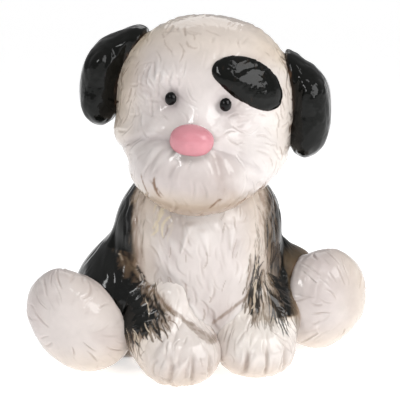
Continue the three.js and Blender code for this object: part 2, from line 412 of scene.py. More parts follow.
# ---------- meshes ----------
def new_mesh(name, points, faces):
    """A mesh object; faces is an array of quads or a list of index tuples."""
    mesh = bpy.data.meshes.new(name)
    if isinstance(faces, np.ndarray):
        count, sides = faces.shape
        mesh.vertices.add(len(points))
        mesh.vertices.foreach_set("co", np.asarray(points, np.float32).ravel())
        mesh.loops.add(count * sides)
        mesh.loops.foreach_set("vertex_index", faces.astype(np.int32).ravel())
        mesh.polygons.add(count)
        mesh.polygons.foreach_set("loop_start", np.arange(0, count * sides, sides, dtype=np.int32))
        mesh.update()
    else:
        mesh.from_pydata([tuple(p) for p in points], [], faces)
    mesh.polygons.foreach_set("use_smooth", np.ones(len(mesh.polygons), bool))
    mesh.validate()
    made = bpy.data.objects.new(name, mesh)
    bpy.context.scene.collection.objects.link(made)
    return made


def vertices_of(piece):
    place = np.zeros(len(piece.data.vertices) * 3, np.float32)
    piece.data.vertices.foreach_get("co", place)
    return place.reshape(-1, 3).astype(float)


def put_paint(piece, colour, dry):
    mesh = piece.data
    for name in ("paint", "dry"):
        old = mesh.attributes.get(name)
        if old is not None:
            mesh.attributes.remove(old)
    paint = mesh.attributes.new("paint", "FLOAT_COLOR", "POINT")
    rgba = np.column_stack([colour, np.ones(len(colour))]).astype(np.float32)
    paint.data.foreach_set("color", rgba.ravel())
    dryness = mesh.attributes.new("dry", "FLOAT", "POINT")
    dryness.data.foreach_set("value", np.asarray(dry, np.float32))


def soften(piece, angle):
    """Smooth shading, except over edges sharper than this angle."""
    piece.data.polygons.foreach_set("use_smooth", np.ones(len(piece.data.polygons), bool))
    piece.data.set_sharp_from_angle(angle=angle)


def boolean(piece, cutter, operation):
    modifier = piece.modifiers.new("cut", "BOOLEAN")
    modifier.object = cutter
    modifier.operation = operation
    modifier.solver = "MANIFOLD"
    bpy.context.view_layer.update()
    graph = bpy.context.evaluated_depsgraph_get()
    cut = bpy.data.meshes.new_from_object(piece.evaluated_get(graph))
    piece.modifiers.remove(modifier)
    old = piece.data
    piece.data = cut
    bpy.data.meshes.remove(old)
    bpy.data.objects.remove(cutter)
    return piece


def prism(name, outline, low, high, axis):
    """A closed straight prism: an outline of points in the plane across `axis`, drawn from low to high."""
    first, second = [(1, 2), (2, 0), (0, 1)][axis]
    count = len(outline)
    points = np.zeros((2 * count, 3))
    for layer, level in enumerate((low, high)):
        rows = slice(layer * count, (layer + 1) * count)
        points[rows, first], points[rows, second] = np.transpose(outline)
        points[rows, axis] = level
    sides = [(i, (i + 1) % count, (i + 1) % count + count, i + count) for i in range(count)]
    caps = [tuple(range(count))[::-1], tuple(range(count, 2 * count))]
    return new_mesh(name, points, sides + caps)


def circle(centre, radius, sides=96):
    turns = np.arange(sides) * 2 * math.pi / sides
    return [(centre[0] + radius * math.cos(t), centre[1] + radius * math.sin(t)) for t in turns]


def stadium(centre, half_width, half_length, sides=24):
    """A slot's outline: narrow in the second coordinate, long in the first, with round ends."""
    outline = []
    straight = half_length - half_width
    for k in range(2 * sides + 2):
        turn = -math.pi / 2 + math.pi * (k if k <= sides else k - 1) / sides
        shift = straight if k <= sides else -straight
        first = centre[0] + shift + half_width * math.cos(turn)
        outline.append((first, centre[1] + half_width * math.sin(turn)))
    return outline


# ---------- materials ----------
WET_SHINE = 0.5
DRY_SHINE = 0.12


def material(name):
    made = bpy.data.materials.new(name)
    made.use_nodes = True
    tree = made.node_tree
    shader = tree.nodes["Principled BSDF"]
    return made, tree, shader


def add_node(tree, kind, **inputs):
    made = tree.nodes.new(kind)
    for name, value in inputs.items():
        made.inputs[name.replace("_", " ")].default_value = value
    return made


def add_attribute(tree, name):
    made = tree.nodes.new("ShaderNodeAttribute")
    made.attribute_name = name
    return made


def add_range(tree, source, target, low, high, start=0.0, end=1.0):
    """Feeds target with source, stretched from start..end to low..high."""
    made = add_node(tree, "ShaderNodeMapRange", From_Min=start, From_Max=end, To_Min=low, To_Max=high)
    tree.links.new(source, made.inputs["Value"])
    tree.links.new(made.outputs["Result"], target)


def add_noise(tree, where, scale, detail, roughness=0.5):
    made = add_node(tree, "ShaderNodeTexNoise", Scale=scale, Detail=detail, Roughness=roughness)
    tree.links.new(where.outputs["Object"], made.inputs["Vector"])
    return made.outputs["Fac"]


def add_bump(tree, height, strength, distance):
    made = add_node(tree, "ShaderNodeBump", Strength=strength, Distance=distance)
    tree.links.new(height, made.inputs["Height"])
    return made


def glaze(name, gloss=0.09, dry_gloss=0.42, wave=0.16, ior=1.44):
    """Painted glaze: the brushed colour, a little mottling, fine pits and slow waves in the gloss."""
    made, tree, shader = material(name)
    link = tree.links.new
    paint = add_attribute(tree, "paint")
    dry = add_attribute(tree, "dry")
    where = tree.nodes.new("ShaderNodeTexCoord")

    shade = tree.nodes.new("ShaderNodeVectorMath")
    shade.operation = "SCALE"
    mottle = add_noise(tree, where, 95.0, 5.0, 0.6)
    add_range(tree, mottle, shade.inputs["Scale"], 0.93, 1.05, 0.3, 0.7)
    link(paint.outputs["Color"], shade.inputs[0])
    link(shade.outputs["Vector"], shader.inputs["Base Color"])
    add_range(tree, dry.outputs["Fac"], shader.inputs["Roughness"], gloss, dry_gloss)
    add_range(tree, dry.outputs["Fac"], shader.inputs["Specular IOR Level"], WET_SHINE, DRY_SHINE)

    swell = add_bump(tree, add_noise(tree, where, 160.0, 2.0), wave, 0.0012)
    pits = add_bump(tree, add_noise(tree, where, 900.0, 3.0, 0.6), 0.10, 0.00025)
    link(swell.outputs["Normal"], pits.inputs["Normal"])
    link(pits.outputs["Normal"], shader.inputs["Normal"])
    shader.inputs["IOR"].default_value = ior
    return made


WHITE_GLAZE = glaze("white_glaze")
BLACK_GLAZE = glaze("black_glaze", gloss=0.06, wave=0.45, ior=1.3)
PINK_GLAZE = glaze("pink_glaze", gloss=0.1, wave=0.1)


def finish_piece(piece, made_of, replaced, body=BANK):
    piece.data.materials.clear()
    piece.data.materials.append(made_of)
    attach(piece, body)
    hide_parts(*replaced)
    return piece


# ---------- where things are ----------
STOPPER_LOW, STOPPER_HIGH = (np.array(c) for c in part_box("stopper"))
BASE_CENTRE = (STOPPER_LOW + STOPPER_HIGH) / 2
FLANGE_RADIUS = (STOPPER_HIGH[0] - STOPPER_LOW[0]) / 2
stopper_points = np.array([v.co for v in NODES["stopper"].data.vertices])
upper = stopper_points[stopper_points[:, 2] > STOPPER_HIGH[2] - 4 * MM]
BARREL_RADIUS = np.hypot(*(upper - BASE_CENTRE)[:, :2].T).max()
HOLE_CLEARANCE = 0.35 * MM
FLANGE_THICKNESS = 1.8 * MM
SEAT_HEIGHT = STOPPER_LOW[2] + FLANGE_THICKNESS + HOLE_CLEARANCE
BOXES = {o["name"]: np.array(o["box_m"]) for o in frame["record"]["physics"]["openings"]}
SLOT_BOX = BOXES["coin_slot"]
SLOT_HALF_WIDTH = (SLOT_BOX[1, 0] - SLOT_BOX[0, 0]) / 2 + 0.3 * MM
SLOT_HALF_LENGTH = (SLOT_BOX[1, 2] - SLOT_BOX[0, 2]) / 2 + 0.9 * MM
SLOT_MIDDLE = SLOT_BOX.mean(0)
NECK_BOX = BOXES["neck_passage"]
NECK_RADIUS = 13 * MM

body_high = np.array(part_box("body_shell")[1])
BODY_HEART = np.array([0, BASE_CENTRE[1] - 8 * MM, body_high[2] * 0.46])
HEAD_MIDDLE = middle("head_shell") * [1, 1, 0] + [0, 0, centroid("head_shell")[2]]

EYES = {side: middle(side + "_eye") for side in SIDES}
NOSE_MIDDLE = middle("nose")
FACE_X = unit(EYES["left"] - EYES["right"])
brow_point = (EYES["left"] + EYES["right"]) / 2
FACE_Y = brow_point - HEAD_MIDDLE
FACE_Y = unit(FACE_Y - FACE_X * (FACE_Y @ FACE_X) - np.array([0, 0, 1.0]) * FACE_Y[2])
FACE_Z = unit(np.cross(FACE_Y, FACE_X)) * (1 if np.cross(FACE_Y, FACE_X)[2] > 0 else -1)
HEAD_HEART = HEAD_MIDDLE + (FACE_Y * 9 - FACE_Z * 3) * MM


def face(points):
    """Points in the head's own frame, in mm: towards its left ear, forwards, up."""
    away = (points - HEAD_MIDDLE) / MM
    return away @ FACE_X, away @ FACE_Y, away @ FACE_Z


# ---------- the members' forms ----------
FORMS = {
    "body": Form(
        "body_shell",
        BODY_HEART,
        ("head_shell",),
        flat_hole=(BASE_CENTRE, FLANGE_RADIUS + 3 * MM),
    ),
    "head": Form("head_shell", HEAD_HEART, ()),
}
for side in SIDES:
    FORMS[side + "_ear"] = Form(side + "_ear", centroid(side + "_ear"), ("head_shell",), soften=3)
    FORMS[side + "_foreleg"] = Form(
        side + "_foreleg",
        centroid(side + "_foreleg"),
        ("body_shell", "head_shell", OTHER[side] + "_foreleg"),
        soften=2,
    )
    FORMS[side + "_foot"] = Form(
        side + "_hind_foot",
        centroid(side + "_hind_foot"),
        ("body_shell", side + "_foreleg"),
        soften=2,
    )
    FORMS[side + "_eye"] = Form(side + "_eye", EYES[side], ("head_shell",), soften=1)
FORMS["tail"] = Form("tail", centroid("tail"), ("body_shell",), soften=2)
FORMS["nose"] = Form("nose", NOSE_MIDDLE, ("head_shell",), soften=2)

GRIDS = {"body": FINE, "head": FINE, "nose": SMALL, "right_eye": SMALL, "left_eye": SMALL}
POINTS = {name: form.on(GRIDS.get(name, MEDIUM)) for name, form in FORMS.items()}
NORMALS = {name: FORMS[name].grid.normals(points) for name, points in POINTS.items()}


def near_to(name, neighbours):
    """Each neighbour's distance from the points of a member."""
    return {other: FORMS[other].outside(POINTS[name]) for other in neighbours}


def join(distances, widths):
    """The swelling and the crease shading of a member beside its neighbours."""
    swell = np.zeros(len(next(iter(distances.values()))))
    crease = np.zeros_like(swell)
    for other, distance in distances.items():
        swell = np.maximum(swell, fillet(distance, widths[other] * MM))
        crease = np.maximum(crease, bell(np.maximum(distance, 0), 0.9 * MM))
    return swell, crease


def stand(points, name):
    """Nothing dips under the plane the bank stands on."""
    low = float(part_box(FORMS[name].name)[0][2])
    points[:, 2] = np.maximum(points[:, 2], max(low, 0.0))
    return points


def make_member(name, relief, coat, made_of, points=None):
    form = FORMS[name]
    points = POINTS[name] if points is None else points
    points = stand(points + NORMALS[name] * relief[:, None], name)
    piece = new_mesh(name, points, form.grid.quads)
    put_paint(piece, coat.colour, coat.dry)
    return finish_piece(piece, made_of, [form.name])


# ---------- shapes and outlines; bare numbers are in mm ----------
THINNEST_WALL = 3 * MM
GLAZE_RUNS_IN = 2.2 * MM
SHELL_EDGE = math.radians(50)
SWATHE = math.radians(15)
LEG_BACK_TOP = 32
# each point is a level and how far from the dog's middle the black begins there
RIGHT_FLANK = ((0, 33), (14, 32.5), (24, 28.5), (33, 27.5), (48, 29.2), (62, 30.3), (78, 30.2), (92, 27))
LEFT_FLANK = ((20, 35.5), (40, 33), (62, 31.5), (80, 31), (92, 28))
RIGHT_TUFT = ((18, 33), (22, 25), (26, 17), (31, 12.5), (37, 17.5), (42, 22), (47, 26.5), (54, 33))
# the fold's place at two levels, and the levels where it starts, is full, is still full and ends
FOLD_LINE = {"right": ((18, 8), (46, -29)), "left": ((25, 7), (42, 29))}
FOLD_SPAN = {"right": (17, 20, 44, 50), "left": (23, 26, 40, 44)}
# each lock's place, top, length, slant and height
CHIN_LOCKS = (
    (-13, 74, 15, 0.32, 0.9),
    (-8, 71, 13, -0.2, 0.7),
    (6, 72, 12, 0.1, 0.5),
    (17, 68, 15, -0.4, 0.7),
)
SLOT_LIP = 2.2 * MM
LIP_ROLL = 1.1 * MM
EYE_SOCKET = 6.2 * MM
# each swelling's place across and up, its width and height, and how far it rises
FACE_BUMPS = (
    (-15, -24, 10, 8, 0.8),
    (13, -25, 9, 9, 0.8),
    (-19, 15, 8, 4.5, 2.2),
    (12, 16.5, 7, 4, 0.9),
    (-19, -4, 7, 4.5, 1.5),
    (14, -4, 7, 4.5, 1.1),
    (-39, -13, 9, 8, 3.2),
    (35, -20, 10, 11, 3.2),
    (0, 3, 5, 7, 0.9),
    (-34, -24, 4, 3.5, -1.6),
)
PAW_OUT = 17.5
TOE_GROOVES = (-8.0, 0.5, 8.5)
# the ground colour, the lighter colour above the paw, and the level of the paw's top; the left foreleg's
# paler colours are painted light that lifts the shade it sits in
LEG_PAINT = {"right": (WHITE, PALE, 1), "left": (PALE, PAINTED_LIGHT_WHITE, 27)}
# share of cream, inner swelling, lean at the side, what more it gains across, and from where to where
FOOT_SHAPE = {"right": (0.15, 0.8, 3.5, 5.5, -12, 12), "left": (0.6, 2.4, 2.5, 3.0, -6, 16)}


# ---------- body ----------
def hollow_of(node_name, heart, name):
    """The inside of a shell, from the first wall each ray meets."""
    tree = TREES[node_name]
    reach = np.zeros(len(COARSE.directions))
    bare = np.zeros(len(COARSE.directions), bool)
    outer = FORMS[name].coarse
    for i, direction in enumerate(COARSE.directions):
        hit, _, _, distance = tree.ray_cast(Vector(heart), Vector(direction), FAR)
        if hit is None or distance > outer[i] - 2 * MM:
            bare[i] = True
        else:
            reach[i] = distance
    bare = COARSE.spread(bare, 2)
    reach = COARSE.smooth(np.where(bare, reach[~bare].mean(), reach), 700, bare)
    reach = np.minimum(COARSE.smooth(reach, 2), outer - THINNEST_WALL)
    reach = COARSE.look_up(reach, LINING.directions)
    return new_mesh(name + "_hollow", heart + LINING.directions * reach[:, None], LINING.quads)


def carve(piece, cutters):
    """Cuts all the cutters out of a piece at once."""
    whole = cutters[0]
    for cutter in cutters[1:]:
        boolean(whole, cutter, "UNION")
    return boolean(piece, whole, "DIFFERENCE")


def repaint(piece, form, coat):
    """Paint for a carved piece: the member's own outside, bare cream glaze inside."""
    away = vertices_of(piece) - form.heart
    directions = unit(away)
    colour = form.grid.look_up(coat.colour, directions)
    dry = form.grid.look_up(coat.dry, directions)
    depth = form.grid.look_up(form.final, directions) - np.linalg.norm(away, axis=1)
    inside = ramp(GLAZE_RUNS_IN, GLAZE_RUNS_IN + 0.7 * MM, depth)
    put_paint(piece, mix(colour, BARE_INSIDE, inside), dry * (1 - inside))


def make_shell(name, points, coat, cutters):
    """A hollow member: its outside at these points, with the cutters taken out."""
    form = FORMS[name]
    form.final = np.linalg.norm(points - form.heart, axis=1)
    piece = new_mesh(name, points, form.grid.quads)
    carve(piece, [hollow_of(form.name, form.heart, name), *cutters])
    repaint(piece, form, coat)
    soften(piece, SHELL_EDGE)
    return finish_piece(piece, WHITE_GLAZE, [form.name])


def aside(points):
    """mm to the dog's left of its middle, across a plane turned a little to its right."""
    return (points[:, 0] * math.cos(SWATHE) - points[:, 1] * math.sin(SWATHE)) / MM


def wisps(points, shift=0.0):
    """The ragged edge that a nearly dry brush leaves, in mm."""
    fine = streaks(points, (1.0, 1.0, 13), 14 + shift)
    return 1.1 * fine + 1.9 * streaks(points, (4, 4, 20), 3 + shift)


def edge_at(outline, level):
    """How far from the middle an outline of (level, distance) points lies at each level; all in mm."""
    return np.interp(level, *zip(*outline))


def paint_flanks(coat, level, paw_top=0):
    """Black flanks beside the white bib. A leg's ends above its paw; the body's runs on (paw_top 0)."""
    points = coat.points
    on_body = paw_top == 0
    off = aside(points)
    past_right = -off - edge_at(RIGHT_FLANK, level)
    past_left = off - edge_at(LEFT_FLANK, level)
    right = past_right > past_left
    behind = (coat.normals[:, 1] > 0.25) & (on_body | (level < LEG_BACK_TOP))
    beyond = np.maximum(past_right, past_left)
    beyond = np.where(behind, np.maximum(beyond, 12), beyond) + wisps(points)
    beyond -= 6 * np.maximum(paw_top - level, 0)
    grain = ramp(-0.35, 0.45, streaks(points, (1.0, 1.0, 14), 23))
    fall = falling(len(points), np.where(right, 0.12, -0.12))
    coat.brush(CREAM, 0.4 * ramp(-16, -3, beyond))
    coat.brush(SEPIA, (0.2 + 0.45 * grain) * ramp(-6, 0, beyond), 0.3)
    coat.hairs(TAUPE, 0.6, 0.3, bell(beyond + 2.2, 2.4) * ~behind, 80, fall, 15, 1.5, 0.07)
    # the left flank is thinly brushed in front, so it turns from brown to black over a broader band
    wide = np.where(right | behind, 0.0, 1.0)
    coat.brush(TAUPE, (0.75 + 0.25 * grain) * ramp(-1, 1.2, beyond), 0.3)
    coat.brush(UMBER, (0.6 + 0.4 * grain) * ramp(0.4, 2.5 + wide, beyond), 0.15)
    black = ramp(0.4 + 1.6 * wide, 2.6 + 4.4 * wide, beyond + 2.0 * (grain - 0.5) * wide)
    coat.brush(BLACK, black, 0.05)
    fringe = bell(beyond - 0.6 - 2 * wide, 1.8) * ~behind
    coat.hairs(BLACK, 0.85, 0.1, fringe, 46, fall, 17, 1.6, 0.05)
    paint_haunches(coat, level, off, ramp(1, 3, beyond), on_body)


def paint_haunches(coat, level, off, black, on_body):
    """Dull black where the flanks turn into the haunches; the left haunch is pale below, in front."""
    y = coat.points[:, 1] / MM
    ragged = wisps(coat.points, 60)
    low = level + 0.8 * ragged
    haunch = ramp(42, 45, off + 0.7 * ragged) * ramp(12, 2, y)
    coat.brush(BLACK, ramp(38, 41, off) * ramp(70, 60, level) * (y < 30) * on_body, 1.0)
    coat.brush(BLACK, ramp(-33, -37, off) * ramp(96, 88, level) * (y < 0) * black, 0.8)
    coat.brush(TAUPE, 0.7 * haunch * ramp(54, 47, low), 1.0)
    coat.brush(SEPIA, 0.8 * haunch * ramp(44, 48, off) * ramp(48, 42, low), 0.8)
    coat.brush(CREAM, haunch * ramp(45, 50, off) * ramp(42, 34, low))


def paint_fold(coat, level, side, ragged):
    """The brown line where a foreleg leaves the chest."""
    off = aside(coat.points)
    bottom, low, high, top = FOLD_SPAN[side]
    past = off - edge_at(FOLD_LINE[side], level)
    fold = bell(past + 0.5 * ragged, 1.1) * (coat.normals[:, 1] < 0)
    fold *= ramp(top, high, level) * ramp(bottom, low, level)
    coat.brush(SEPIA, 0.45 * bell(past, 4) * ramp(0.05, 0.3, fold), 0.2)
    coat.brush(TAUPE, 0.5 * fold * ramp(-0.5, 0.2, streaks(coat.points, (2, 2, 6), 71)), 0.2)


def paint_tuft(coat, level, side):
    """A tuft of black hair that sweeps from the flank over the front of the leg."""
    points = coat.points
    off = aside(points)
    ragged = wisps(points, 40)
    paint_fold(coat, level, side, ragged)
    if side == "right":
        tuft = -off - edge_at(RIGHT_TUFT, level) + 1.7 * ragged
        slope = 0.62
    else:
        ends = 0.5 * np.maximum(level - 49, 0) + 0.5 * np.maximum(33 - level, 0)
        tuft = 2.0 - np.abs(off - 26) - ends + 0.8 * ragged
        slope = -0.1
    here = (coat.normals[:, 1] < 0.3) & (level < 57) & (off * SIGN[side] > 5)
    tuft = np.where(here, tuft, -20)
    sweep = falling(len(points), slope, -0.2)
    grain = ramp(-0.3, 0.4, streaks(points, (1.2, 1.2, 8), 37))
    coat.brush(SEPIA, (0.25 + 0.4 * grain) * ramp(-4, 0, tuft), 0.35)
    coat.brush(TAUPE, (0.5 + 0.4 * grain) * ramp(-1, 3, tuft), 0.3)
    coat.brush(UMBER, (0.45 + 0.55 * grain) * ramp(1, 6, tuft), 0.2)
    coat.hairs(TAUPE, 0.8, 0.3, bell(tuft + 0.5, 2.5), 30, sweep, 8, 1.8, 0.12)
    coat.brush(BLACK, ramp(4.5, 8.5, tuft + 4 * (grain - 0.5)), 0.1)
    coat.hairs(BLACK, 0.9, 0.15, ramp(-1, 2, tuft) * ramp(12, 8, tuft), 40, sweep, 8, 2.0, 0.12)
    coat.hairs(CREAM, 0.75, 0.1, ramp(1, 3, tuft) * ramp(9, 7, tuft), 9, sweep, 7, 1.3, 0.12)


def paint_body(relief, furrow, crease, under_head):
    """White bib between black flanks, with dry-brushed sepia edges."""
    points, normals = POINTS["body"], NORMALS["body"]
    coat = glaze_tones_and_highlights(Coat(points, WHITE, normals), relief)
    coat.brush(CREAM, 0.25 * bell(under_head, 8 * MM))
    antique_and_shade_creases(coat, furrow, 0.9 * crease)
    coat.brush(SEPIA, 0.25 * bell(under_head, 2.2 * MM), 0.2)
    off, level = aside(points), points[:, 2] / MM
    bib = normals[:, 1] < -0.2
    slanted, steep = falling(len(points), -0.6), falling(len(points), -0.24)
    coat.hairs(STRAW, 0.8, 0.0, bell(np.hypot(off + 20, level - 72), 6) * bib, 16, slanted, 10, 3.4, 0.2)
    # painted light: paler at the top of the chest, lifting the shade the head casts there
    coat.brush(PALE, 0.8 * bell(np.hypot(off - 2, level - 74), 11) * bib)
    chest = 0.5 * ramp(24, 18, np.abs(off)) * ramp(24, 34, level) * bib
    coat.hairs(SEPIA, 0.4, 0.1, chest, 34, steep, 6, 1.4, 0.2)
    paint_flanks(coat, level)
    for side in SIDES:
        paint_tuft(coat, level, side)
    return coat


def body_hair(points, normals):
    """Hair combed down over the bib and round the back. Returns its relief and its furrows."""
    x, y, z = (points / MM).T
    front = ramp(0.15, 0.6, -normals[:, 1]) * ramp(14, 26, z)
    inward = -0.45 * np.sign(x) * ramp(2, 16, np.abs(x))
    flow = falling(len(x), np.where(front > 0.3, inward, 0.3 * np.sign(x)))
    lock, furrow = comb(points, normals, 190, 3.6, front, flow, 9, 2.2, 0.42, 0.25)
    lock += comb(points, normals, 46, 7, front, flow, 20, 6, 0.75, 0.2)[0]
    back_lock, back_furrow = comb(points, normals, 300, 6, 1 - front, flow, 15, 3.4, 0.36)
    lock += back_lock * (1 - 0.6 * ramp(-30, -36, aside(points)) * (y < 0))
    return lock, np.maximum(furrow, 0.6 * back_furrow)


def chin_locks(points):
    """Loose locks that hang from under the chin: their relief in mm, and the furrows round them."""
    x, y, z = (points / MM).T
    relief, furrow = np.zeros(len(x)), np.zeros(len(x))
    for centre, top, long, slant, height in CHIN_LOCKS:
        line = x - centre + slant * (top - z)
        along = np.clip((top - z) / long, 0, 1)
        half = 1.05 - along
        ends = ramp(0, 0.15, along) * ramp(1, 0.9, along) * (y < 0)
        relief += height * bell(line, 2.3 * half) * ends
        outline = (along > 0.1) & (along < 0.95) & (y < 0)
        furrow = np.maximum(furrow, 0.5 * bell(np.abs(line) - 2.6 * half, 0.7) * outline)
    return relief, furrow


def body_folds(points, normals):
    """Folds between flanks and haunches, and the hollow above the left haunch, in mm."""
    x, _, z = (points / MM).T
    off = aside(points)
    folds = 0.3 * bell(off + 39.5, 2.4) + bell(off - 42.5, 2.4)
    swells = 0.7 * bell(off + 34.5, 3.0) + bell(off - 37, 3.0)
    folded = ramp(20, 30, z) * ramp(70, 62, z) * ramp(0.5, 0.1, normals[:, 1])
    hollow = ramp(36, 46, x) * ramp(44, 54, z) * ramp(80, 66, z)
    return (0.8 * swells - 1.2 * folds) * folded - 3.4 * hollow


def slot_lip(points, relief):
    """The relief, smoothed away and rolled in to a rounded lip round the coin slot."""
    along = np.abs(points[:, 2] - SLOT_MIDDLE[2]) - (SLOT_HALF_LENGTH - SLOT_HALF_WIDTH)
    to_slot = np.hypot(np.maximum(along, 0), points[:, 0]) - SLOT_HALF_WIDTH
    lip = np.clip(1 - to_slot / SLOT_LIP, 0, 1) * (points[:, 1] > BODY_HEART[1])
    return relief * (1 - ramp(0, 1, lip)) - LIP_ROLL * lip**2


def make_body():
    name = "body"
    points, normals = POINTS[name], NORMALS[name]
    widths = {"head": 2.5, "right_foreleg": 5, "left_foreleg": 5, "right_foot": 3, "left_foot": 3, "tail": 5}
    distances = near_to(name, widths)
    swell, crease = join(distances, widths)
    z = points[:, 2] / MM
    legs = np.minimum(distances["right_foreleg"], distances["left_foreleg"])
    high_leg = ramp(26, 42, z) * (np.abs(legs) < 6 * MM)
    swell *= 1 - high_leg
    crease *= 1 - 0.6 * high_leg
    lock, furrow = body_hair(points, normals)
    loose, outlines = chin_locks(points)
    modelled = 0.55 * rough_noise(points, 15 * MM, 3) + loose + body_folds(points, normals)
    relief = swell + lock + MM * modelled
    relief *= 1 - ramp(0.6, 0.9, -normals[:, 2]) * ramp(2, 0, z)
    relief = slot_lip(points, relief)
    coat = paint_body(relief, np.maximum(furrow, outlines), crease, distances["head"])

    outline = stadium((SLOT_MIDDLE[2], 0.0), SLOT_HALF_WIDTH, SLOT_HALF_LENGTH)
    cutters = [
        prism("hole", circle(BASE_CENTRE, BARREL_RADIUS + HOLE_CLEARANCE), -MM, STOPPER_HIGH[2], 2),
        prism("seat", circle(BASE_CENTRE, FLANGE_RADIUS + HOLE_CLEARANCE), -MM, SEAT_HEIGHT, 2),
        prism("neck", circle(NECK_BOX.mean(0), NECK_RADIUS), NECK_BOX[0, 2], NECK_BOX[1, 2] + 20 * MM, 2),
        prism("slot", outline, BODY_HEART[1] + 5 * MM, body_high[1] + 8 * MM, 1),
    ]
    moved = stand(points + normals * relief[:, None], name)
    return make_shell(name, moved, coat, cutters)


# ---------- head ----------
def head_shape(points, front, eyes):
    """The features' relief, how far out of the muzzle each point is (1 at its edge), and the cleft."""
    across, forward, up = face(points)
    edge = np.hypot((across + 3) / 34, (up + 26 + 0.06 * across) / np.where(up > -26, 17, 17.5))
    muzzle = np.clip(1 - edge**2, 0, 1) ** 0.8 * front
    rim = bell(edge - 1.03, 0.06) * front * (0.25 + 0.75 * ramp(2, -14, across))
    line = across - 8.5 + 0.45 * (up + 14) + 1.5 * noise(points, 6 * MM, 4)
    cleft = bell(line, 2.0) * ramp(-10, -14, up) * ramp(-37, -29, up) * front
    crown = bell(np.hypot(across + 3, forward), 20) * ramp(25, 40, up)
    shape = 2.8 * muzzle - 0.55 * rim - 1.3 * cleft - 1.8 * crown - 2.1 * bell(eyes, EYE_SOCKET)
    for x, z, wide, tall, rise in FACE_BUMPS:
        bump = np.exp(-(((across - x) / wide) ** 2) - ((up - z) / tall) ** 2)
        shape += rise * bump * ramp(-9, 3, forward)
    return shape * MM, edge, cleft


def head_hair(points, normals, front, eyes, edge, nose):
    """Hair combed outwards from the nose, with stiff tufts on the brow. Returns relief and furrows."""
    across, forward, up = face(points)
    away = points - (HEAD_MIDDLE + (FACE_Y * 46 - FACE_Z * 4) * MM)
    flow = unit(away - normals * np.einsum("ij,ij->i", away, normals)[:, None])
    flow = flow - 0.35 * ramp(-4, -20, up)[:, None] * FACE_Z
    calm = bell(eyes, 5 * MM) + bell(nose, 2.5 * MM) + 0.8 * bell(np.hypot(across - 1, up - 20), 9) * front
    whiskers = (edge < 1) & (front > 0)
    busy = 0.55 + 0.5 * whiskers + 0.6 * bell(np.hypot(across + 20, up - 15), 9) - calm
    facing = ramp(-14, 4, forward)
    lock, furrow = comb(points, normals, 300, 3.5, np.clip(busy, 0, 1) * facing, flow, 7.5, 2.0, 0.4)
    clear = np.clip(1 - 1.4 * calm, 0, 1) * facing * ramp(10, 18, np.hypot(across, up + 4))
    lock += comb(points, normals, 60, 7, clear, flow, 14, 5.5, 0.45)[0]
    brow = bell(np.hypot((across + 20) / 1.2, up - 14), 8)
    brow = brow + 0.8 * bell(np.hypot(across + 27, (up - 2) / 1.5), 6)
    fan = unit(0.55 * FACE_Z - 0.25 * FACE_X + 0.3 * noise(points, 9 * MM, 2)[:, None] * FACE_X)
    stiff = ramp(0.2, 0.7, brow) * ramp(0, 12, forward)
    lock += comb(points, normals, 34, 2.6, stiff, fan, 7, 2.6, 0.6)[0]
    behind = ramp(4, -14, forward)
    back_lock, back_furrow = comb(points, normals, 260, 5.5, behind, flow, 13, 3.4, 0.4, 0.12, 0.08)
    return lock + back_lock, np.maximum(furrow, 0.6 * back_furrow)


